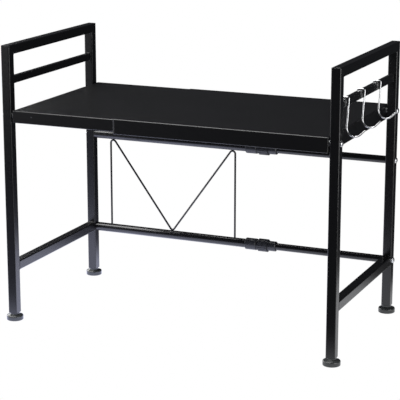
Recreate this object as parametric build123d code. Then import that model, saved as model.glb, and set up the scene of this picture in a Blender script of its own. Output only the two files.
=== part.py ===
"""Extending worktop rack: two welded tube side frames, a telescoping sheet steel shelf between them,
two telescoping rear rails with twist locks, a wire brace, three hanging hooks and four levelling feet.

Millimetres. X runs along the width, Y from front to back, Z up. The origin is on the floor, under the
middle of everything, with the rack pulled out to its widest setting.
"""
from build123d import *
import os
from math import cos, pi, radians, sin, tan

# ---------------------------------------------------------------- driving dimensions
overall_width = 685.5        # over the outer faces of the legs, pulled out
frame_depth = 361.5          # front face of the front legs to rear face of the rear legs
frame_height = 551.5         # floor to top of the side frames
retraction = 210.0           # how far the right side can be pushed in

tube_size = 18.5             # square tube of the legs and top rails
tube_wall = 1.0
tube_corner = 2.0
mid_rail_width = 10.0
mid_rail_height = 14.5
mid_rail_top = 489.5
mid_rail_corner = 1.2
stretcher_size = 18.5
stretcher_top = 119.8
leg_bottom = 15.0

shelf_top = 426.4
shelf_gauge = 0.6
shelf_bend = 1.8             # outside radius of the folded edges
shelf_lip = 12.0             # inward return along the bottom of the aprons
shelf_slide_gap = 0.2        # between the outer panel and the inner panel
outer_apron = 29.2
inner_apron = 23.9
outer_panel_length = 426.3
inner_panel_length = 420.0
apron_hole = 3.0
apron_hole_inset = 42.0      # from the closed end of the inner panel
apron_hole_drop = 10.0       # below the top of the inner panel
spacer_thickness = 2.5       # between a shelf end and its legs
spacer_diameter = 12.0

rail_outer_diameter = 18.4
rail_inner_diameter = 14.8
rail_wall = 0.8
upper_rail_height = 315.3
lower_rail_height = 109.8
outer_rail_length = 372.3
plug_length = 18.0           # threaded plug in a rail end
guide_length = 12.0          # guide head on the inner end of an inner tube
rail_end_gap = 18.0          # left between the guide head and the plug, pushed right in
guide_clearance = 0.08

sleeve_diameter = 24.2       # twist lock, fixed half
sleeve_length = 24.0
sleeve_overlap = 22.0        # how far the outer tube reaches into the sleeve
collet_diameter = 20.4
collet_length = 17.0
collet_slot = 1.2
lock_groove = 5.0            # gap between the sleeve and the turning grip
lock_ring = 1.4              # raised ring in the middle of the gap
grip_diameter = 26.5         # twist lock, turning half
grip_length = 20.0
grip_ribs = 18
grip_flute = 1.5
nose_diameter = 20.7
nose_length = 18.0
lock_clearance = 0.08

wire_diameter = 4.0          # brace wire
brace_inset = 36.7           # from the left legs to the first upright of the brace
brace_arm_angle = 35.8       # degrees between an upright and the arm beside it
brace_top_bend = 6.0
brace_valley_bend = 5.0

bolt_diameter = 6.0
bolt_head_diameter = 12.0
bolt_head_height = 3.4
bolt_socket = 4.0            # across the flats of the hexagon socket
bolt_socket_depth = 2.0
bolt_hole = 6.5
thread_gap = 0.05
nut_across_flats = 10.0
nut_thickness = 5.0
shelf_bolt_height = 415.0
spare_hole_height = 352.0

foot_radius = 16.8
foot_neck_inset = 0.05       # of the neck from the outer faces of the leg, whose end rests on it
foot_rim = 9.0               # height of the base at its rim
foot_dome = 12.2             # height of the dome at the neck
foot_round = 2.6             # rounding of the upper rim, twice that of the lower one
foot_gap = 0.2               # under the leg when the foot is screwed right in
foot_travel = 8.0
stud_diameter = 8.0
stud_clearance = 0.05
stud_bottom = 4.0
leg_plug_length = 14.0

hook_wire = 3.0
hook_gap = 0.2               # between a hook and the rail that it hangs on
hook_lean = 3.3              # degrees from upright
hook_bend = 2.5              # bends over the rail
hook_tail = 12.0             # short arm down the inner side of the rail
hook_bowl = 15.3             # bend radius of the bowl
hook_bowl_bottom = 420.0     # lowest point of the wire's middle line
hook_rise = 45.0             # degrees, slope of the outer arm
hook_arm = 12.0              # straight length of the outer arm
hook_places = {"front_hook": -127.0, "middle_hook": -35.0, "rear_hook": 63.0}

# ---------------------------------------------------------------- places that follow from them
leg_y = (frame_depth - tube_size) / 2
rail_face = mid_rail_width / 2
mid_rail_bottom = mid_rail_top - mid_rail_height
foot_neck_radius = tube_size / 2 - foot_neck_inset
lean_slope = tan(radians(hook_lean))
hook_shaft = rail_face + hook_wire / 2 + hook_gap          # shaft at the lower edge of the rail
hook_corner_z = mid_rail_top + hook_wire / 2 + hook_gap
bowl_z = hook_bowl_bottom + hook_bowl
# The bowl touches the leaning shaft at its left and the rising arm at its lower right.
bowl_x = hook_shaft + (bowl_z - mid_rail_bottom) * lean_slope + hook_bowl / cos(radians(hook_lean))
arm_start_x = bowl_x + hook_bowl * sin(radians(hook_rise))
arm_start_z = bowl_z - hook_bowl * cos(radians(hook_rise))
hook_tip_x = arm_start_x + hook_arm * cos(radians(hook_rise))
hook_tip_z = arm_start_z + hook_arm * sin(radians(hook_rise))
hook_reach = hook_tip_x + hook_wire / 2 * sin(radians(hook_rise))

left_leg_x = (foot_radius - hook_reach - overall_width + tube_size) / 2
right_leg_x = left_leg_x + overall_width - tube_size
left_inner_face = left_leg_x + tube_size / 2
right_inner_face = right_leg_x - tube_size / 2

outer_panel_end = right_inner_face - spacer_thickness
inner_panel_end = left_inner_face + spacer_thickness
inner_shelf_top = shelf_top - shelf_gauge - shelf_slide_gap
inner_shelf_depth = frame_depth - 2 * (shelf_gauge + shelf_slide_gap)

rail_end_x = left_inner_face + outer_rail_length           # right end of the outer tubes
sleeve_start = rail_end_x - sleeve_overlap
sleeve_end = sleeve_start + sleeve_length
grip_start = sleeve_end + lock_groove
nose_start = grip_start + grip_length
lock_end = nose_start + nose_length
# the inner tube reaches into the outer one by what the travel, the plug and the guide head leave
inner_rail_engagement = outer_rail_length - plug_length - rail_end_gap - guide_length - retraction
inner_rail_start = rail_end_x - inner_rail_engagement
rail_heights = {"upper": upper_rail_height, "lower": lower_rail_height}


# ---------------------------------------------------------------- shapes used more than once
def block(x0, x1, y0, y1, z0, z1):
    """A box between two corners."""
    centre = Pos((x0 + x1) / 2, (y0 + y1) / 2, (z0 + z1) / 2)
    return centre * Box(abs(x1 - x0), abs(y1 - y0), abs(z1 - z0))


def rod(diameter, x0, x1, y=0.0, z=0.0):
    """A round bar along X."""
    return Pos((x0 + x1) / 2, y, z) * Rot(0, 90, 0) * Cylinder(diameter / 2, abs(x1 - x0))


def tube_section(width, height, wall, corner):
    """The cross-section of a rectangular tube with rounded corners."""
    bore = RectangleRounded(width - 2 * wall, height - 2 * wall, max(corner - wall, wall / 4))
    return RectangleRounded(width, height, corner) - bore


def wedge(x, points):
    """A three-cornered prism across a leg, from its points in Y and Z."""
    outline = make_face(Plane.YZ * Polyline(*points, close=True))
    return Pos(x - tube_size, 0, 0) * extrude(outline, amount=2 * tube_size, dir=(1, 0, 0))


def leg(x, side):
    """A leg, mitred at the top, with its bolt holes. side is -1 at the front and 1 at the back."""
    y = side * leg_y
    section = tube_section(tube_size, tube_size, tube_wall, tube_corner)
    shape = Pos(x, y, leg_bottom) * extrude(section, amount=frame_height - leg_bottom)
    back, inner = side * frame_depth / 2, side * (frame_depth / 2 - tube_size)
    shape -= wedge(x, [(back, frame_height), (inner, frame_height - tube_size), (inner, frame_height)])
    heights = [shelf_bolt_height, spare_hole_height]
    if side > 0:
        heights += list(rail_heights.values())
    for height in heights:
        shape -= rod(bolt_hole, x - tube_size, x + tube_size, y, height)
    return shape


def top_rail(x):
    """The top rail of a side frame, mitred to both legs."""
    section = Plane.XZ * tube_section(tube_size, tube_size, tube_wall, tube_corner)
    height = frame_height - tube_size / 2
    shape = Pos(x, 0, height) * extrude(section, amount=frame_depth / 2, both=True)
    for side in (-1, 1):
        back, inner = side * frame_depth / 2, side * (frame_depth / 2 - tube_size)
        low = frame_height - tube_size
        shape -= wedge(x, [(back, frame_height), (inner, low), (back, low)])
    return shape


def cross_rail(x, width, height, top, corner):
    """A straight rail between the front and rear legs of a side frame."""
    section = Plane.XZ * tube_section(width, height, tube_wall, corner)
    return Pos(x, 0, top - height / 2) * extrude(section, amount=leg_y - tube_size / 2, both=True)


def shelf_panel(closed_x, open_x, top, depth, apron):
    """A folded sheet panel: top, two aprons with lips, and a downturned flange at the closed end."""
    inward = 1 if open_x > closed_x else -1
    shape = block(closed_x, open_x, -depth / 2, depth / 2, top - apron, top)
    cavity_x = closed_x + inward * shelf_gauge
    side = depth / 2 - shelf_gauge
    low = top - apron + shelf_gauge
    past_end = open_x + inward
    cavity = block(cavity_x, past_end, -side, side, low, top - shelf_gauge)
    outer_edges = shape.edges().filter_by(Axis.X)
    outer_edges += shape.faces().sort_by(Axis.X)[0 if inward > 0 else -1].edges().filter_by(Axis.Z)
    outer_edges += shape.faces().sort_by(Axis.X)[0 if inward > 0 else -1].edges().sort_by(Axis.Z)[-1:]
    inner_edges = cavity.edges().filter_by(Axis.X)
    inner_edges += cavity.faces().sort_by(Axis.X)[0 if inward > 0 else -1].edges().filter_by(Axis.Z)
    inner_edges += cavity.faces().sort_by(Axis.X)[0 if inward > 0 else -1].edges().sort_by(Axis.Z)[-1:]
    shape = fillet(outer_edges, shelf_bend) - fillet(inner_edges, shelf_bend - shelf_gauge)
    lip_edge = side - shelf_lip
    shape -= block(cavity_x, past_end, -lip_edge, lip_edge, top - apron - 1, low + 1)
    for y in (-leg_y, leg_y):
        shape -= rod(bolt_hole, closed_x - 2, closed_x + 2, y, shelf_bolt_height)
    return shape


def bolt(face_x, tip_x, y, z):
    """A button-head bolt whose head sits on the face at face_x and whose tip is at tip_x."""
    out = -1 if tip_x > face_x else 1
    head = Pos(face_x, y, z) * Rot(0, 90 * out, 0) * button_head()
    return head + rod(bolt_diameter, face_x, tip_x, y, z)


def button_head():
    """A domed bolt head with a hexagon socket, standing up from its seat at the origin."""
    radius = bolt_head_diameter / 2
    crown = radius / 2
    profile = Polyline((crown, bolt_head_height), (0, bolt_head_height), (0, 0), (radius, 0))
    dome = ThreePointArc(
        (radius, 0), (radius * 0.86, bolt_head_height * 0.62), (crown, bolt_head_height)
    )
    head = revolve(make_face(Plane.XZ * (profile + dome)), axis=Axis.Z)
    socket = extrude(RegularPolygon(bolt_socket / 2, 6, major_radius=False), amount=bolt_socket_depth)
    return head - Pos(0, 0, bolt_head_height - bolt_socket_depth) * socket


def hex_nut(x0, x1, y, z):
    """A nut between two places along X."""
    outline = RegularPolygon(nut_across_flats / 2, 6, major_radius=False)
    body = Pos(min(x0, x1), y, z) * Rot(0, 90, 0) * extrude(outline, amount=abs(x1 - x0))
    return body - rod(bolt_diameter + 2 * thread_gap, min(x0, x1) - 1, max(x0, x1) + 1, y, z)


def bent_wire(diameter, points, radii):
    """A round wire along straight runs joined by bends, its middle line in the XZ plane."""
    corners = [(x, 0, z) for x, z in points]
    path = FilletPolyline(*corners, radius=radii)
    section = Plane(origin=path @ 0, z_dir=path % 0) * Circle(diameter / 2)
    return sweep(section, path=path)


def foot(x, y):
    """A moulded levelling foot: a low dome on a thick round base."""
    top = leg_bottom - foot_gap
    outline = make_face(Plane.XZ * Polyline(
        (0, 0), (foot_radius, 0), (foot_radius, foot_rim), (foot_neck_radius, foot_dome),
        (foot_neck_radius, top), (0, top), close=True
    ))
    rim_corners = outline.vertices().sort_by(Axis.X)[-2:].sort_by(Axis.Z)
    outline = fillet(rim_corners[1], foot_round)
    outline = fillet(outline.vertices().group_by(Axis.Z)[0].sort_by(Axis.X)[-1], foot_round / 2)
    body = revolve(outline, axis=Axis.Z)
    well = Pos(0, 0, (stud_bottom + leg_bottom) / 2) * Cylinder(stud_diameter / 2, leg_bottom - stud_bottom)
    return Pos(x, y, 0) * (body - well)


def foot_stud(x, y):
    """The threaded stud moulded into a foot."""
    top = leg_bottom + leg_plug_length + foot_travel
    length = top - stud_bottom
    return Pos(x, y, stud_bottom + length / 2) * Cylinder(stud_diameter / 2, length)


def leg_plug(x, y):
    """The plug pressed into the bottom of a leg, threaded for the foot."""
    inside = tube_size - 2 * tube_wall
    outline = RectangleRounded(inside, inside, tube_corner - tube_wall)
    outline -= Circle(stud_diameter / 2 + stud_clearance)
    return Pos(x, y, leg_bottom) * extrude(outline, amount=leg_plug_length)


def lock_sleeve(height):
    """The fixed half of a twist lock: a sleeve on the outer tube and a slotted collet beyond it."""
    body = rod(sleeve_diameter, sleeve_start, sleeve_end, leg_y, height)
    body = chamfer(body.edges().filter_by(GeomType.CIRCLE), 0.8)
    body += rod(collet_diameter, sleeve_end, sleeve_end + collet_length, leg_y, height)
    middle = sleeve_end + lock_groove / 2
    ring = (collet_diameter + sleeve_diameter) / 2
    body += rod(ring, middle - lock_ring / 2, middle + lock_ring / 2, leg_y, height)
    body -= rod(rail_outer_diameter, sleeve_start - 1, rail_end_x, leg_y, height)
    grip_bore = rail_inner_diameter + 2 * lock_clearance
    body -= rod(grip_bore, sleeve_start, sleeve_end + collet_length + 1, leg_y, height)
    slot_start = grip_start + 1
    slot_end = sleeve_end + collet_length + 1
    reach = collet_diameter
    half = collet_slot / 2
    body -= block(slot_start, slot_end, leg_y - half, leg_y + half, height - reach, height + reach)
    body -= block(slot_start, slot_end, leg_y - reach, leg_y + reach, height - half, height + half)
    return body


def lock_nut(height):
    """The turning half of a twist lock: a fluted grip with a plain nose."""
    radius = grip_diameter / 2
    outline = Circle(radius)
    for number in range(grip_ribs):
        angle = 2 * pi * number / grip_ribs
        outline -= Pos(radius * cos(angle), radius * sin(angle)) * Circle(grip_flute / 2)
    grip = Pos(grip_start, leg_y, height) * Rot(0, 90, 0) * extrude(outline, amount=grip_length)
    nose = rod(nose_diameter, nose_start, lock_end, leg_y, height)
    nose = chamfer(nose.edges().filter_by(GeomType.CIRCLE).sort_by(Axis.X)[-1:], 1.0)
    shape = grip + nose
    chamber = collet_diameter + 2 * lock_clearance
    shape -= rod(chamber, grip_start - 1, sleeve_end + collet_length + 1, leg_y, height)
    bore = rail_inner_diameter + 2 * lock_clearance
    return shape - rod(bore, grip_start, lock_end + 1, leg_y, height)


def guide_plug(height):
    """The plastic guide on the inner end of an inner tube, running in the outer tube."""
    head = rail_outer_diameter - 2 * rail_wall - 2 * guide_clearance
    stem = rail_inner_diameter - 2 * rail_wall
    shape = rod(head, inner_rail_start - guide_length, inner_rail_start, leg_y, height)
    return shape + rod(stem, inner_rail_start, inner_rail_start + guide_length, leg_y, height)


def wire_brace():
    """One wire bent to an M between the outer rear tubes, with its feet coped to the lower tube."""
    angle = radians(brace_arm_angle)
    touch = (rail_outer_diameter + wire_diameter) / 2
    # The sharp corners of the M lie beyond its bends, which touch the two tubes.
    peak = upper_rail_height - touch + brace_top_bend * (1 / tan(angle / 2) - 1)
    valley = lower_rail_height + touch - brace_valley_bend * (1 / sin(angle) - 1)
    left = left_inner_face + brace_inset
    middle = left + (peak - valley) * tan(angle)
    right = 2 * middle - left
    foot_z = lower_rail_height
    points = [(left, foot_z), (left, peak), (middle, valley), (right, peak), (right, foot_z)]
    wire = bent_wire(wire_diameter, points, [brace_top_bend, brace_valley_bend, brace_top_bend])
    wire = Pos(0, leg_y, 0) * wire
    for height in rail_heights.values():
        wire -= rod(rail_outer_diameter, left_inner_face, rail_end_x, leg_y, height)
    return wire


def hook(y):
    """A wire hook over the right mid rail, leaning in, with its bowl outside the frame."""
    shaft_top = hook_shaft + (hook_corner_z - mid_rail_bottom) * lean_slope
    rise_x, rise_z = cos(radians(hook_rise)), sin(radians(hook_rise))
    # The shaft and the arm would meet at a sharp corner below the bowl.
    shaft_x = hook_shaft + (arm_start_z - mid_rail_bottom) * lean_slope
    back = (shaft_x - arm_start_x) / (rise_x - lean_slope * rise_z)
    corner = (arm_start_x + back * rise_x, arm_start_z + back * rise_z)
    points = [(-hook_shaft, hook_corner_z - hook_tail), (-hook_shaft, hook_corner_z),
              (shaft_top, hook_corner_z), corner, (hook_tip_x, hook_tip_z)]
    return Pos(right_leg_x, y, 0) * bent_wire(hook_wire, points, [hook_bend, hook_bend, hook_bowl])


# ---------------------------------------------------------------- the pieces
parts = {}

for name, x in (("left", left_leg_x), ("right", right_leg_x)):
    parts[name + "_front_leg"] = leg(x, -1)
    parts[name + "_rear_leg"] = leg(x, 1)
    parts[name + "_top_rail"] = top_rail(x)
    parts[name + "_mid_rail"] = cross_rail(
        x, mid_rail_width, mid_rail_height, mid_rail_top, mid_rail_corner
    )
    parts[name + "_stretcher"] = cross_rail(
        x, stretcher_size, stretcher_size, stretcher_top, tube_corner
    )
    parts[name + "_leg_plugs"] = Compound(children=[leg_plug(x, -leg_y), leg_plug(x, leg_y)])
    for end, y in (("front", -leg_y), ("rear", leg_y)):
        parts[f"{name}_{end}_foot"] = foot(x, y)
        parts[f"{name}_{end}_foot_stud"] = foot_stud(x, y)

parts["outer_shelf_panel"] = shelf_panel(
    outer_panel_end, outer_panel_end - outer_panel_length, shelf_top, frame_depth, outer_apron
)
inner_panel = shelf_panel(
    inner_panel_end, inner_panel_end + inner_panel_length, inner_shelf_top, inner_shelf_depth, inner_apron
)
apron_hole_x = inner_panel_end + apron_hole_inset
apron_hole_z = inner_shelf_top - apron_hole_drop
drill = Pos(apron_hole_x, -inner_shelf_depth / 2, apron_hole_z) * Rot(90, 0, 0) * Cylinder(apron_hole / 2, 4)
parts["inner_shelf_panel"] = inner_panel - drill

for name, face_x, way in (("left", left_inner_face, 1), ("right", right_inner_face, -1)):
    outside_x = face_x - way * tube_size
    flange_x = face_x + way * spacer_thickness
    nut_x = flange_x + way * shelf_gauge
    nut_end = nut_x + way * nut_thickness
    shelf_bolt_tip = nut_end + way * 1.5
    plug_end = face_x + way * plug_length
    rail_bolt_tip = plug_end - way * 2.0
    bore = (rail_outer_diameter if way > 0 else rail_inner_diameter) - 2 * rail_wall
    spacers, nuts, shelf_bolts = [], [], []
    for y in (-leg_y, leg_y):
        height = shelf_bolt_height
        low_x, high_x = min(face_x, flange_x), max(face_x, flange_x)
        spacers.append(
            rod(spacer_diameter, low_x, high_x, y, height) - rod(bolt_hole, low_x - 1, high_x + 1, y, height)
        )
        nuts.append(hex_nut(nut_x, nut_end, y, height))
        shelf_bolts.append(bolt(outside_x, shelf_bolt_tip, y, height))
    plugs, rail_bolts = [], []
    for height in rail_heights.values():
        plug_low, plug_high = min(face_x, plug_end), max(face_x, plug_end)
        plugs.append(
            rod(bore, plug_low, plug_high, leg_y, height)
            - rod(bolt_diameter + 2 * thread_gap, plug_low - 1, plug_high + 1, leg_y, height)
        )
        rail_bolts.append(bolt(outside_x, rail_bolt_tip, leg_y, height))
    parts[name + "_shelf_spacers"] = Compound(children=spacers)
    parts[name + "_shelf_nuts"] = Compound(children=nuts)
    parts[name + "_shelf_bolts"] = Compound(children=shelf_bolts)
    parts[name + "_rail_plugs"] = Compound(children=plugs)
    parts[name + "_rail_bolts"] = Compound(children=rail_bolts)

for name, height in rail_heights.items():
    outer_bore = rail_outer_diameter - 2 * rail_wall
    inner_bore = rail_inner_diameter - 2 * rail_wall
    parts[name + "_outer_tube"] = (
        rod(rail_outer_diameter, left_inner_face, rail_end_x, leg_y, height)
        - rod(outer_bore, left_inner_face - 1, rail_end_x + 1, leg_y, height)
    )
    parts[name + "_inner_tube"] = (
        rod(rail_inner_diameter, inner_rail_start, right_inner_face, leg_y, height)
        - rod(inner_bore, inner_rail_start - 1, right_inner_face + 1, leg_y, height)
    )
    parts[name + "_guide_plug"] = guide_plug(height)
    parts[name + "_lock_sleeve"] = lock_sleeve(height)
    parts[name + "_lock_nut"] = lock_nut(height)

parts["wire_brace"] = wire_brace()
for name, y in hook_places.items():
    parts[name] = hook(y)

os.makedirs("parts", exist_ok=True)
for name, shape in parts.items():
    export_step(shape, f"parts/{name}.step")
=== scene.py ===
"""An extending worktop rack: two welded tube side frames, a telescoping sheet steel shelf, two rear
rails with twist locks, a wire brace, bright wire hooks and levelling feet."""
import bpy
from math import cos, floor, pi, radians, sin
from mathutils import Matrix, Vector


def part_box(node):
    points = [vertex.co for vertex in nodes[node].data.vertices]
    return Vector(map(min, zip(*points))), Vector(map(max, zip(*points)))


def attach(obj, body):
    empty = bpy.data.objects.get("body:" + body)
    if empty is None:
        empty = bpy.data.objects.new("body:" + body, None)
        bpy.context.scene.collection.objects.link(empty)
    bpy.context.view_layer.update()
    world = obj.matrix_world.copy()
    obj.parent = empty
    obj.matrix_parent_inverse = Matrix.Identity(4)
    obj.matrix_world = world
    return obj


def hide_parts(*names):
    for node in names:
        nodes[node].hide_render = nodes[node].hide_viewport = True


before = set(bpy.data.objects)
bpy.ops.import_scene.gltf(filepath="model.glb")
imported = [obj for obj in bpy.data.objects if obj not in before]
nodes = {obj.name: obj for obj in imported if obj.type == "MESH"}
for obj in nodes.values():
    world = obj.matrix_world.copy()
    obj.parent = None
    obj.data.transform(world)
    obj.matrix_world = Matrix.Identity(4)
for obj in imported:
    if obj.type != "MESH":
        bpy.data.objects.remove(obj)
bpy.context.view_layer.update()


# ---------------------------------------------------------------- studio
# The rack stands on an opal acrylic light table in a dark room, under one wide softbox, with white
# cards at the front left, left and right and a small lamp behind it at the left. The table burns out
# to white all round the rack.
def linear(hex_colour):
    """An sRGB colour such as "1c1d20" as the linear colour that a shader takes."""
    values = [int(hex_colour[i:i + 2], 16) / 255 for i in (0, 2, 4)]
    values = [v / 12.92 if v <= 0.04045 else ((v + 0.055) / 1.055) ** 2.4 for v in values]
    return (*values, 1.0)


def node(tree, kind, links=None, **settings):
    """Adds a node to a tree, sets its values and joins its inputs to other nodes' outputs."""
    made = tree.nodes.new(kind)
    inputs = settings.pop("inputs", {})
    for name, value in settings.items():
        setattr(made, name, value)
    for name, value in inputs.items():
        made.inputs[name].default_value = value
    for name, source in (links or {}).items():
        tree.links.new(source, made.inputs[name])
    return made


def new_tree(name):
    """A material with an empty node tree, and the tree."""
    material = bpy.data.materials.new(name)
    material.use_nodes = True
    material.node_tree.nodes.clear()
    return material, material.node_tree


def shaped(name, points, faces, material):
    """A mesh of one material from its points and faces."""
    mesh = bpy.data.meshes.new(name)
    mesh.from_pydata(points, [], faces)
    mesh.materials.append(material)
    return mesh


def two_tone(ramp, spread, colours):
    """Makes a ramp change from one sRGB colour to the other between two values of a pattern."""
    for stop, place, colour in zip(ramp.color_ramp.elements, spread, colours):
        stop.position = place
        stop.color = linear(colour)


def white_to_the_eye(tree, white_kind, light, output_kind):
    """Shows plain white to the camera, while another node gives the light that falls on the rack."""
    white = node(tree, white_kind, inputs={"Color": linear("ffffff"), "Strength": 1.0})
    path = node(tree, "ShaderNodeLightPath")
    seen = node(tree, "ShaderNodeMixShader",
                {0: path.outputs["Is Camera Ray"], 1: light.outputs[0], 2: white.outputs[0]})
    node(tree, output_kind, {"Surface": seen.outputs[0]})


LENS = 140.6                            # mm
SENSOR_WIDTH = 36.0                     # mm
CAMERA_PLACE = (1.1862, -2.7508, 0.9865)
CAMERA_PITCH = 13.985                   # degrees down from level
CAMERA_TURN = 23.615                    # degrees to the left of straight ahead

camera_data = bpy.data.cameras.new("camera")
camera_data.lens = LENS
camera_data.sensor_width = SENSOR_WIDTH
camera = bpy.data.objects.new("camera", camera_data)
bpy.context.collection.objects.link(camera)
camera.location = CAMERA_PLACE
camera.rotation_euler = (radians(90 - CAMERA_PITCH), 0, radians(CAMERA_TURN))
bpy.context.scene.camera = camera
bpy.context.scene.view_settings.view_transform = "Standard"

TABLE_LOW = (-1.6, -1.4)                # metres, corners of the table
TABLE_HIGH = (1.6, 0.7)
TABLE_TOP = -0.0005                     # metres, just under the feet
LIT_MIDDLE_Y = 0.04                     # metres, middle line of the lit part
LIT_HALF_DEPTH = (0.22, 0.39)           # metres from that line: fully lit, and dark
LIT_HALF_WIDTH = (0.80, 1.50)
TABLE_GLOW = 1.9
SPILL_DEPTH = (-1.35, -0.45)            # metres along Y, in front of the lit part: dark, full spill
SPILL_WIDTH = (-0.45, 0.10)             # metres along X: full spill, and what is left of it
SPILL_LEFT_OVER = 0.3
SPILL_GLOW = 0.33
TINT_WIDTH = (-0.3, 0.35)               # metres along X: cool bright light, and dimmer neutral light
TINTS = ("dfe3ff", "b1b2b4")

table_material, tree = new_tree("opal_acrylic_light_table")
place = node(tree, "ShaderNodeTexCoord")
axes = node(tree, "ShaderNodeSeparateXYZ", {"Vector": place.outputs["Object"]})
from_middle = node(tree, "ShaderNodeMath", {0: axes.outputs["Y"]}, operation="SUBTRACT",
                   inputs={1: LIT_MIDDLE_Y})
depth = node(tree, "ShaderNodeMath", {0: from_middle.outputs[0]}, operation="ABSOLUTE")
width = node(tree, "ShaderNodeMath", {0: axes.outputs["X"]}, operation="ABSOLUTE")
lit_depth, lit_width = (
    node(tree, "ShaderNodeMapRange", {"Value": distance.outputs[0]}, interpolation_type="SMOOTHSTEP",
         inputs={"From Min": lit_to, "From Max": dark_from, "To Min": 1.0, "To Max": 0.0})
    for distance, (lit_to, dark_from) in ((depth, LIT_HALF_DEPTH), (width, LIT_HALF_WIDTH)))
lit = node(tree, "ShaderNodeMath", {0: lit_depth.outputs[0], 1: lit_width.outputs[0]},
           operation="MULTIPLY")
glow = node(tree, "ShaderNodeMath", {0: lit.outputs[0]}, operation="MULTIPLY",
            inputs={1: TABLE_GLOW})
spill_depth = node(tree, "ShaderNodeMapRange", {"Value": axes.outputs["Y"]},
                   inputs={"From Min": SPILL_DEPTH[0], "From Max": SPILL_DEPTH[1],
                           "To Min": 0.0, "To Max": 1.0})
spill_width = node(tree, "ShaderNodeMapRange", {"Value": axes.outputs["X"]},
                   inputs={"From Min": SPILL_WIDTH[0], "From Max": SPILL_WIDTH[1],
                           "To Min": 1.0, "To Max": SPILL_LEFT_OVER})
spill = node(tree, "ShaderNodeMath", {0: spill_depth.outputs[0], 1: spill_width.outputs[0]},
             operation="MULTIPLY")
table_glow = node(tree, "ShaderNodeMath", {0: spill.outputs[0], 2: glow.outputs[0]},
                  operation="MULTIPLY_ADD", inputs={1: SPILL_GLOW})
along = node(tree, "ShaderNodeMapRange", {"Value": axes.outputs["X"]},
             inputs={"From Min": TINT_WIDTH[0], "From Max": TINT_WIDTH[1]})
tint = node(tree, "ShaderNodeValToRGB", {"Fac": along.outputs[0]})
two_tone(tint, (0.0, 1.0), TINTS)
lamp_glow = node(tree, "ShaderNodeEmission",
                 {"Color": tint.outputs[0], "Strength": table_glow.outputs[0]})
white_to_the_eye(tree, "ShaderNodeEmission", lamp_glow, "ShaderNodeOutputMaterial")

corners = [(x, y, TABLE_TOP) for x, y in (TABLE_LOW, (TABLE_HIGH[0], TABLE_LOW[1]), TABLE_HIGH,
                                          (TABLE_LOW[0], TABLE_HIGH[1]))]
table_mesh = shaped("light_table", corners, [(0, 1, 2, 3)], table_material)
table = bpy.data.objects.new("light_table", table_mesh)
bpy.context.collection.objects.link(table)

ROOM_GLOW = 0.035                       # what little light the dark room's walls give back

world = bpy.data.worlds.new("studio")
bpy.context.scene.world = world
world.use_nodes = True
tree = world.node_tree
tree.nodes.clear()
dark = node(tree, "ShaderNodeBackground", inputs={"Color": linear("dfe3ee"), "Strength": ROOM_GLOW})
white_to_the_eye(tree, "ShaderNodeBackground", dark, "ShaderNodeOutputWorld")

# Each lamp is an even rectangle that the camera doesn't see: its place and what it points at, its
# width and height, all in metres, and its radiance.
SOFTBOXES = {
    "overhead": ((-0.7, -0.6, 2.2), (-0.15, 0, 0.3), 2.3, 1.7, 6.0),
    "front_left_card": ((-2.25, -2.0, 0.5), (-0.2, 0, 0.3), 1.5, 1.0, 0.9),
    "right_card": ((1.75, -0.55, 0.45), (0.2, 0, 0.35), 1.3, 1.1, 3.6),
    "rear_left_lamp": ((-1.5, 1.1, 0.75), (-0.1, 0, 0.05), 0.5, 0.5, 4.5),
    "left_card": ((-1.6, 0.15, 0.8), (-0.2, 0, 0.4), 1.5, 1.6, 3.2),
}
for name, (place, aim, width, height, radiance) in SOFTBOXES.items():
    data = bpy.data.lights.new(name, "AREA")
    data.shape = "RECTANGLE"
    data.size, data.size_y = width, height
    data.energy = radiance * pi * width * height
    lamp = bpy.data.objects.new(name, data)
    bpy.context.collection.objects.link(lamp)
    lamp.location = place
    lamp.rotation_euler = (Vector(aim) - Vector(place)).to_track_quat("-Z", "Y").to_euler()
    lamp.visible_camera = False


# ---------------------------------------------------------------- side frames
# Square and flat steel tube, cut, mitred at the top corners and welded, then powder coated black as
# one frame. The powder melts to a semi-gloss skin with a faint orange peel, thin on the corners.
MM = 0.001               # metres in a millimetre
PEEL_SIZE = 2.2          # mm between the swells of the orange peel
GRAIN_SIZE = 0.9         # mm; the real grain is near 0.2 mm and is drawn coarser so that it shows
COAT_ROUND = 1.0         # mm, rounding of an arris under the coat
CLOUD_SIZE = 90.0        # mm, slow change of shade from one area to another
GRAIN_SHARE = 0.2        # depth of the grain as a share of the peel's


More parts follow.
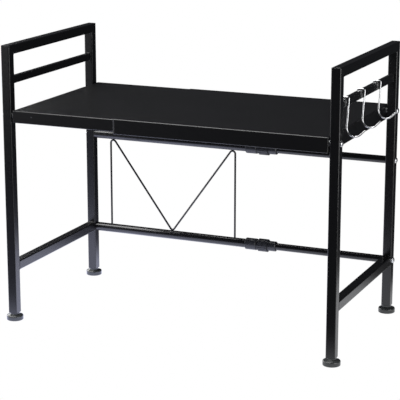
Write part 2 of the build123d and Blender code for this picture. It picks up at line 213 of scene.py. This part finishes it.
def powder_coat(name, colours, roughness, peel_depth):
    """Baked powder coat: dark resin, orange peel, fine grain and slow changes of shade."""
    material, tree = new_tree(name)
    place = node(tree, "ShaderNodeTexCoord")
    peel = node(tree, "ShaderNodeTexNoise", {"Vector": place.outputs["Object"]},
                inputs={"Scale": 1000 / PEEL_SIZE, "Detail": 1.0, "Roughness": 0.4})
    grain = node(tree, "ShaderNodeTexNoise", {"Vector": place.outputs["Object"]},
                 inputs={"Scale": 1000 / GRAIN_SIZE, "Detail": 2.0, "Roughness": 0.6})
    cloud = node(tree, "ShaderNodeTexNoise", {"Vector": place.outputs["Object"]},
                 inputs={"Scale": 1000 / CLOUD_SIZE, "Detail": 3.0, "Roughness": 0.55})
    shade = node(tree, "ShaderNodeValToRGB", {"Fac": cloud.outputs["Fac"]})
    two_tone(shade, (0.3, 0.7), colours)
    gloss = node(tree, "ShaderNodeMapRange", {"Value": grain.outputs["Fac"]},
                 inputs={"From Min": 0.3, "From Max": 0.7,
                         "To Min": roughness[0], "To Max": roughness[1]})
    arris = node(tree, "ShaderNodeBevel", samples=4, inputs={"Radius": COAT_ROUND * MM})
    swell = node(tree, "ShaderNodeBump", {"Height": peel.outputs["Fac"], "Normal": arris.outputs[0]},
                 inputs={"Strength": 1.0, "Distance": peel_depth * MM})
    skin = node(tree, "ShaderNodeBump",
                {"Height": grain.outputs["Fac"], "Normal": swell.outputs[0]},
                inputs={"Strength": 1.0, "Distance": peel_depth * GRAIN_SHARE * MM})
    shader = node(tree, "ShaderNodeBsdfPrincipled",
                  {"Base Color": shade.outputs[0], "Roughness": gloss.outputs[0],
                   "Normal": skin.outputs[0]},
                  inputs={"IOR": 1.6})
    node(tree, "ShaderNodeOutputMaterial", {"Surface": shader.outputs[0]})
    return material


def finish(material, *names):
    """Puts a material in the slots of CAD nodes."""
    for name in names:
        obj = nodes[name]
        if not obj.material_slots:
            obj.data.materials.append(material)
        for slot in obj.material_slots:
            slot.material = material


tube_coat = powder_coat("powder_coated_steel_tube", ("0e0e10", "121214"), (0.22, 0.32), 0.05)
for side in ("left", "right"):
    finish(tube_coat, f"{side}_front_leg", f"{side}_rear_leg", f"{side}_top_rail",
           f"{side}_mid_rail", f"{side}_stretcher")


# ---------------------------------------------------------------- welds
# Short MIG fillet welds hold the rails to the legs. Each is a row of overlapping solidified ripples,
# brushed clean and powder coated with the frame.
WELD_PITCH = 1.3         # mm from ripple to ripple
WELD_WIDTH = 3.0         # mm across the bead
WELD_TRIM = 2.0          # mm left free at each corner
WELD_INSET = 0.45        # mm that the middle line stands in from the rail's edge
WELD_RISE = WELD_INSET / 3       # mm that it stands off the rail's face
RIPPLE_LENGTH = 1.9      # as a share of the pitch, so that the ripples overlap
RIPPLE_UNEVEN = (0.86, 1.12)     # least and most width, as a share of the bead's

weld_tree = bpy.data.node_groups.new("weld_bead", "GeometryNodeTree")
weld_sockets = {}
for name, kind in (("Path", "Geometry"), ("Pitch", "Float"), ("Width", "Float"), ("Seed", "Int"),
                   ("Coat", "Material")):
    weld_sockets[name] = weld_tree.interface.new_socket(name=name, in_out="INPUT",
                                                        socket_type=f"NodeSocket{kind}")
weld_tree.interface.new_socket(name="Bead", in_out="OUTPUT", socket_type="NodeSocketGeometry")
given = node(weld_tree, "NodeGroupInput")
line = node(weld_tree, "GeometryNodeMeshToCurve", {"Mesh": given.outputs["Path"]})
steps = node(weld_tree, "GeometryNodeResampleCurve",
             {"Curve": line.outputs[0], "Length": given.outputs["Pitch"]}, mode="LENGTH")
heading = node(weld_tree, "GeometryNodeInputTangent")
turned = node(weld_tree, "FunctionNodeAlignRotationToVector", {"Vector": heading.outputs[0]},
              axis="X")
ripple = node(weld_tree, "GeometryNodeMeshIcoSphere", inputs={"Radius": 0.5, "Subdivisions": 2})
uneven = node(weld_tree, "FunctionNodeRandomValue", {"Seed": given.outputs["Seed"]},
              data_type="FLOAT", inputs={2: RIPPLE_UNEVEN[0], 3: RIPPLE_UNEVEN[1]})
across = node(weld_tree, "ShaderNodeMath", {0: given.outputs["Width"], 1: uneven.outputs[1]},
              operation="MULTIPLY")
lengthwise = node(weld_tree, "ShaderNodeMath", {0: given.outputs["Pitch"]}, operation="MULTIPLY",
                  inputs={1: RIPPLE_LENGTH})
size = node(weld_tree, "ShaderNodeCombineXYZ",
            {"X": lengthwise.outputs[0], "Y": across.outputs[0], "Z": across.outputs[0]})
row = node(weld_tree, "GeometryNodeInstanceOnPoints",
           {"Points": steps.outputs[0], "Instance": ripple.outputs[0], "Rotation": turned.outputs[0],
            "Scale": size.outputs[0]})
solid = node(weld_tree, "GeometryNodeRealizeInstances", {"Geometry": row.outputs[0]})
smooth = node(weld_tree, "GeometryNodeSetShadeSmooth", {"Geometry": solid.outputs[0]})
coated = node(weld_tree, "GeometryNodeSetMaterial",
              {"Geometry": smooth.outputs[0], "Material": given.outputs["Coat"]})
node(weld_tree, "NodeGroupOutput", {"Bead": coated.outputs[0]})


def add_piece(name, mesh, body):
    """Adds a mesh as a piece that rides on a body."""
    piece = bpy.data.objects.new(name, mesh)
    bpy.context.collection.objects.link(piece)
    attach(piece, body)
    return piece


def run_tree(name, tree, sockets, lines, values, body):
    """Runs a node tree over polylines, keeps the result as a plain mesh and rides it on a body."""
    points, edges = [], []
    for run in lines:
        first = len(points)
        points += run
        edges += [(first + i, first + i + 1) for i in range(len(run) - 1)]
    mesh = bpy.data.meshes.new(f"{name}_path")
    mesh.from_pydata(points, edges, [])
    maker = bpy.data.objects.new(f"{name}_path", mesh)
    bpy.context.collection.objects.link(maker)
    modifier = maker.modifiers.new("tree", "NODES")
    modifier.node_group = tree
    for key, value in values.items():
        modifier[sockets[key].identifier] = value
    graph = bpy.context.evaluated_depsgraph_get()
    made = bpy.data.meshes.new_from_object(maker.evaluated_get(graph))
    made.name = name
    bpy.data.objects.remove(maker)
    return add_piece(name, made, body)


def fillet_welds(side):
    """The middle lines of the fillet welds on one side frame. The right mid rail is welded only from
    below, because the hooks slide over its top and sides."""
    runs = []
    off, rise, trim = WELD_INSET * MM, WELD_RISE * MM, WELD_TRIM * MM
    for rail in (f"{side}_mid_rail", f"{side}_stretcher"):
        low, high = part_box(rail)
        below_and_above = low[2] - rise, high[2] + rise
        if rail == "right_mid_rail":
            below_and_above = below_and_above[:1]
        for y in (low[1] + off, high[1] - off):
            runs += [[(low[0] + trim, y, z), (high[0] - trim, y, z)] for z in below_and_above]
            if rail == "left_mid_rail":
                runs += [[(x, y, low[2] + trim), (x, y, high[2] - trim)]
                         for x in (low[0] - rise, high[0] + rise)]
    low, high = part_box(f"{side}_top_rail")
    wall = high[0] - low[0]
    under = low[2] - off
    for y, way in ((low[1] + wall, 1), (high[1] - wall, -1)):
        runs.append([(low[0] + trim, y + way * off, under), (high[0] - trim, y + way * off, under)])
    return runs


for seed, side in enumerate(("left", "right")):
    run_tree(f"{side}_welds", weld_tree, weld_sockets, fillet_welds(side),
             {"Pitch": WELD_PITCH * MM, "Width": WELD_WIDTH * MM, "Seed": seed, "Coat": tube_coat},
             f"{side}_side")


# ---------------------------------------------------------------- shelf
# Two trays of 0.6 mm cold-rolled sheet, folded on a press brake along the front and back. The right
# one slides over the left one. Coated black, a little flatter than the tubes.
sheet_coat = powder_coat("powder_coated_steel_sheet", ("0c0c0e", "0f0f11"), (0.28, 0.38), 0.035)
finish(sheet_coat, "outer_shelf_panel", "inner_shelf_panel")

# The open end of the outer tray is hemmed: its aprons are folded back flat for 3 mm, and the coat is
# thin on the fold. The hem's light grey colour also paints in the highlight that the rounded fold
# catches from the left, so it is far lighter than the sheet.
HEM_WIDTH = 3.0          # mm
HEM_RISE = 0.35          # mm, that the fold stands proud of the apron
HEM_ROUND = 0.3          # mm
HEM_TRIM = 1.2           # mm, left free at the top and bottom bends
HEM_GAP = 0.01           # mm between the fold and the apron

# The hem's grey is a painted highlight on the fold, over a coat that is thin there.
hem_coat_and_painted_highlight = powder_coat("powder_coat_thin_with_painted_highlight_on_hem", ("48484c", "545458"), (0.26, 0.34), 0.02)
tray_low, tray_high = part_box("outer_shelf_panel")
hem_outline = [(0, 0), (0, HEM_RISE - HEM_ROUND), (HEM_ROUND, HEM_RISE),
               (HEM_WIDTH - HEM_ROUND, HEM_RISE), (HEM_WIDTH, HEM_RISE - HEM_ROUND), (HEM_WIDTH, 0)]
hem_points, hem_faces = [], []
for face_y, way in ((tray_low[1], -1), (tray_high[1], 1)):
    first = len(hem_points)
    for z in (tray_low[2] + HEM_TRIM * MM, tray_high[2] - HEM_TRIM * MM):
        for along, out in hem_outline:
            hem_points.append((tray_low[0] + along * MM, face_y + way * (out + HEM_GAP) * MM, z))
    count = len(hem_outline)
    edges = [(i, (i + 1) % count) for i in range(count)]
    sides = [[first + i, first + count + i, first + count + j, first + j] for i, j in edges]
    ends = [[first + i for i in range(count)], [first + count + i for i in range(count)][::-1]]
    hem_faces += [face if way < 0 else face[::-1] for face in sides + ends]
add_piece("outer_tray_hem", shaped("outer_tray_hem", hem_points, hem_faces, hem_coat_and_painted_highlight), "right_side")

# A flush stop pin, pressed into the front of the inner tray near its end. It is turned steel with a
# grey phosphate finish.
PIN_RADIUS = 1.45        # mm
PIN_IN = 42.0            # mm from the closed end of the inner tray
PIN_DROP = 10.0          # mm below its top
PIN_DEPTH = 0.5          # mm
PIN_CHAMFER = (0.2, 0.3)     # taken off the front edge, as shares of the radius and of the depth
PIN_SINK = 0.05          # mm behind the face of the apron
PIN_SEGMENTS = 32


def turned_shape(profile, centre):
    """Points and faces of a solid turned round an axis along Y. The profile's points are radius and
    distance towards the front in mm, and it closes on the axis at both ends."""
    points, faces, rings = [], [], []
    for radius, forward in profile:
        ring = []
        for i in range(1 if radius == 0 else PIN_SEGMENTS):
            turn = 2 * pi * i / PIN_SEGMENTS
            ring.append(len(points))
            points.append((centre[0] + radius * cos(turn) * MM, centre[1] - forward * MM,
                           centre[2] + radius * sin(turn) * MM))
        rings.append(ring)
    for lower, upper in zip(rings, rings[1:]):
        for i in range(PIN_SEGMENTS):
            j = (i + 1) % PIN_SEGMENTS
            if len(lower) == 1:
                faces.append((lower[0], upper[j], upper[i]))
            elif len(upper) == 1:
                faces.append((lower[i], lower[j], upper[0]))
            else:
                faces.append((lower[i], lower[j], upper[j], upper[i]))
    return points, faces


MARK_DEPTH = 0.004       # mm, of the fine marks on a metal


def metal(name, colours, roughness, patch_size, mark_size):
    """A plated or polished steel with patches of tint and fine marks that scatter its gloss."""
    material, tree = new_tree(name)
    place = node(tree, "ShaderNodeTexCoord")
    patch = node(tree, "ShaderNodeTexNoise", {"Vector": place.outputs["Object"]},
                 inputs={"Scale": 1000 / patch_size, "Detail": 2.0})
    marks = node(tree, "ShaderNodeTexNoise", {"Vector": place.outputs["Object"]},
                 inputs={"Scale": 1000 / mark_size, "Detail": 3.0, "Roughness": 0.65})
    tint = node(tree, "ShaderNodeValToRGB", {"Fac": patch.outputs["Fac"]})
    two_tone(tint, (0.35, 0.65), colours)
    gloss = node(tree, "ShaderNodeMapRange", {"Value": marks.outputs["Fac"]},
                 inputs={"From Min": 0.3, "From Max": 0.7,
                         "To Min": roughness[0], "To Max": roughness[1]})
    scratch = node(tree, "ShaderNodeBump", {"Height": marks.outputs["Fac"]},
                   inputs={"Strength": 0.5, "Distance": MARK_DEPTH * MM})
    shader = node(tree, "ShaderNodeBsdfPrincipled",
                  {"Base Color": tint.outputs[0], "Roughness": gloss.outputs[0],
                   "Normal": scratch.outputs[0]},
                  inputs={"Metallic": 1.0})
    node(tree, "ShaderNodeOutputMaterial", {"Surface": shader.outputs[0]})
    return material


phosphated_steel = metal("phosphated_turned_steel", ("6a6b6e", "77787c"), (0.35, 0.5), 3.0, 0.5)
tray_low, tray_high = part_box("inner_shelf_panel")
pin_place = (tray_low[0] + PIN_IN * MM, tray_low[1] + (PIN_DEPTH + PIN_SINK) * MM,
             tray_high[2] - PIN_DROP * MM)
pin_points, pin_faces = turned_shape(
    [(0, 0), (PIN_RADIUS, 0), (PIN_RADIUS, PIN_DEPTH * (1 - PIN_CHAMFER[1])),
     (PIN_RADIUS * (1 - PIN_CHAMFER[0]), PIN_DEPTH), (0, PIN_DEPTH)], pin_place)
pin_mesh = shaped("shelf_stop_pin", pin_points, pin_faces, phosphated_steel)
pin_mesh.polygons.foreach_set("use_smooth", [True] * len(pin_faces))
add_piece("shelf_stop_pin", pin_mesh, "left_side")


# ---------------------------------------------------------------- rear rails
# Two telescoping pairs of seam-welded round tube behind the legs: an outer tube bolted to the left
# leg and an inner tube bolted to the right one. Powder coated; drawn smooth, so glossier than sheet.
rail_coat = powder_coat("powder_coated_round_tube", ("0e0e10", "121214"), (0.20, 0.28), 0.03)
finish(rail_coat, "upper_outer_tube", "lower_outer_tube", "upper_inner_tube", "lower_inner_tube")


# ---------------------------------------------------------------- twist locks
# Injection moulded glass-filled nylon: a sleeve with a slotted collet, a fluted nut that squeezes
# it, guide heads and end plugs. The steel mould is spark eroded, which leaves a fine satin texture.
SPARK_SIZE = 0.8         # mm; the real texture is near 0.1 mm and is drawn coarser so that it shows
FLOW_SIZE = 14.0         # mm, faint flow marks


def moulded(name, colours, roughness, texture_depth):
    """Moulded plastic with spark-eroded texture and faint flow marks."""
    material, tree = new_tree(name)
    place = node(tree, "ShaderNodeTexCoord")
    spark = node(tree, "ShaderNodeTexVoronoi", {"Vector": place.outputs["Object"]},
                 inputs={"Scale": 1000 / SPARK_SIZE})
    flow = node(tree, "ShaderNodeTexNoise", {"Vector": place.outputs["Object"]},
                inputs={"Scale": 1000 / FLOW_SIZE, "Detail": 2.0, "Distortion": 0.8})
    shade = node(tree, "ShaderNodeValToRGB", {"Fac": flow.outputs["Fac"]})
    two_tone(shade, (0.3, 0.7), colours)
    gloss = node(tree, "ShaderNodeMapRange", {"Value": flow.outputs["Fac"]},
                 inputs={"From Min": 0.3, "From Max": 0.7,
                         "To Min": roughness[0], "To Max": roughness[1]})
    bump = node(tree, "ShaderNodeBump", {"Height": spark.outputs["Distance"]},
                inputs={"Strength": 1.0, "Distance": texture_depth * MM})
    shader = node(tree, "ShaderNodeBsdfPrincipled",
                  {"Base Color": shade.outputs[0], "Roughness": gloss.outputs[0],
                   "Normal": bump.outputs[0]},
                  inputs={"IOR": 1.53})
    node(tree, "ShaderNodeOutputMaterial", {"Surface": shader.outputs[0]})
    return material


black_nylon = moulded("moulded_black_nylon", ("27282c", "303136"), (0.30, 0.40), 0.015)
finish(black_nylon, "left_leg_plugs", "right_leg_plugs", "left_rail_plugs", "right_rail_plugs")
for height in ("upper", "lower"):
    finish(black_nylon, f"{height}_lock_sleeve", f"{height}_lock_nut", f"{height}_guide_plug")


# ---------------------------------------------------------------- brace
# One length of 4 mm steel wire, bent to a zigzag in a jig, resistance welded to the outer tubes and
# coated with them. Drawn wire is smooth under its coat.
wire_coat = powder_coat("powder_coated_wire", ("0c0c0e", "101012"), (0.24, 0.32), 0.02)
finish(wire_coat, "wire_brace")


# ---------------------------------------------------------------- bolts, nuts and spacers
# Zinc-plated button-head bolts with hexagon sockets, cold headed and bright, with a faint blue
# passivation. Plated nuts and spacers are behind them.
bright_zinc = metal("bright_zinc_plate", ("d0d2d6", "e2e3e4"), (0.25, 0.4), 5.0, 0.6)
for side in ("left", "right"):
    finish(bright_zinc, f"{side}_shelf_bolts", f"{side}_rail_bolts", f"{side}_shelf_nuts",
           f"{side}_shelf_spacers")


# ---------------------------------------------------------------- levelling feet
# A turned-down base moulded from dark grey polypropylene on an M8 stud with a rolled thread. Fresh
# polypropylene is a little waxy and shows a sharp soft-box highlight.
THREAD_PITCH = 1.25      # mm
THREAD_DEPTH = 0.68      # mm
ROWS_PER_TURN = 6
THREAD_SEGMENTS = 24
THREAD_FLAT = 0.1        # share of half a pitch that is flat at the crest, and again at the root

grey_foot = moulded("moulded_grey_polypropylene", ("323434", "3a3c3c"), (0.14, 0.2), 0.001)


def thread_radius(outer, height, turn):
    """The radius in mm of a 60 degree thread at a height and an angle, flat at crest and root."""
    along = height / THREAD_PITCH - turn / (2 * pi)
    wave = abs(2 * (along - floor(along)) - 1)
    drop = (wave - THREAD_FLAT) / (1 - 2 * THREAD_FLAT)
    return outer - THREAD_DEPTH * min(max(drop, 0.0), 1.0)


def threaded_stud(name, node_name, body):
    """A stud with a helical thread and a chamfer at each end, in the place of a CAD stud."""
    low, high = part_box(node_name)
    outer = (high[0] - low[0]) / 2 / MM
    centre = ((low[0] + high[0]) / 2, (low[1] + high[1]) / 2)
    length = (high[2] - low[2]) / MM
    rows = round(length / THREAD_PITCH * ROWS_PER_TURN)
    points, faces = [], []
    for row in range(rows + 1):
        height = length * row / rows
        cap = outer - THREAD_DEPTH * max(0.0, 1 - min(height, length - height) / THREAD_DEPTH)
        for i in range(THREAD_SEGMENTS):
            turn = 2 * pi * i / THREAD_SEGMENTS
            radius = min(thread_radius(outer, height, turn), cap) * MM
            points.append((centre[0] + radius * cos(turn), centre[1] + radius * sin(turn),
                           low[2] + height * MM))
    for row in range(rows):
        for i in range(THREAD_SEGMENTS):
            j = (i + 1) % THREAD_SEGMENTS
            first, second = row * THREAD_SEGMENTS, (row + 1) * THREAD_SEGMENTS
            faces.append((first + i, first + j, second + j, second + i))
    faces.append(tuple(range(THREAD_SEGMENTS))[::-1])
    faces.append(tuple(range(rows * THREAD_SEGMENTS, (rows + 1) * THREAD_SEGMENTS)))
    piece = add_piece(name, shaped(name, points, faces, bright_zinc), body)
    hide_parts(node_name)


for side in ("left", "right"):
    for end in ("front", "rear"):
        finish(grey_foot, f"{side}_{end}_foot")
        threaded_stud(f"{side}_{end}_threaded_stud", f"{side}_{end}_foot_stud",
                      f"{side}_{end}_leveller")


# ---------------------------------------------------------------- hooks
# Three hooks of 3 mm steel wire, bent cold over a former, polished and chromium plated. They hang on
# the right mid rail and slide along it.
chrome = metal("chromed_wire", ("eff0f2", "f8f8f9"), (0.22, 0.32), 12.0, 0.7)
finish(chrome, "front_hook", "middle_hook", "rear_hook")
